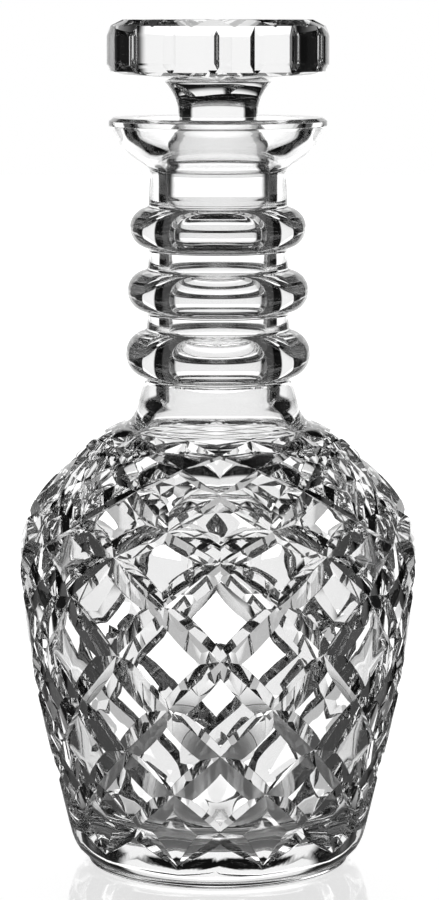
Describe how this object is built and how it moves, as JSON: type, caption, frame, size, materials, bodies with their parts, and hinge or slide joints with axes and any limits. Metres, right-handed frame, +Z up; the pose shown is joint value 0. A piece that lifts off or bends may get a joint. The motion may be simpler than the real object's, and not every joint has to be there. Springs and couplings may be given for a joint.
{
  "type": "decanter",
  "caption": "Clear cut-glass decanter: a bellied bottle cut all over with crossing V grooves, a ringed neck with a bell lip, and a lift-out disc stopper with a ground plug.",
  "frame": {"origin": "middle of the flat ring under the foot, on the bottle's axis", "axes": "+Z up along the axis of the bottle and stopper; -Y is the front, 0.8 degrees from a groove crossing of every second row, and +X is 2.6 degrees from the middle of an edge groove of the stopper"},
  "size_m": [0.1199, 0.12, 0.2538],
  "materials": {
    "crystal": "clear polished crystal; the plug and its socket are ground matt"
  },
  "bodies": {
    "bottle": {"bottle": "crystal", "neck_ring_upper": "crystal", "neck_ring_middle": "crystal", "neck_ring_lower": "crystal"},
    "stopper": {"stopper": "crystal"}
  },
  "joints": [
    {"name": "stopper_lift", "type": "slide", "parent": "bottle", "child": "stopper", "axis": [0, 0, 1], "range_m": [0, 0.06]}
  ]
}
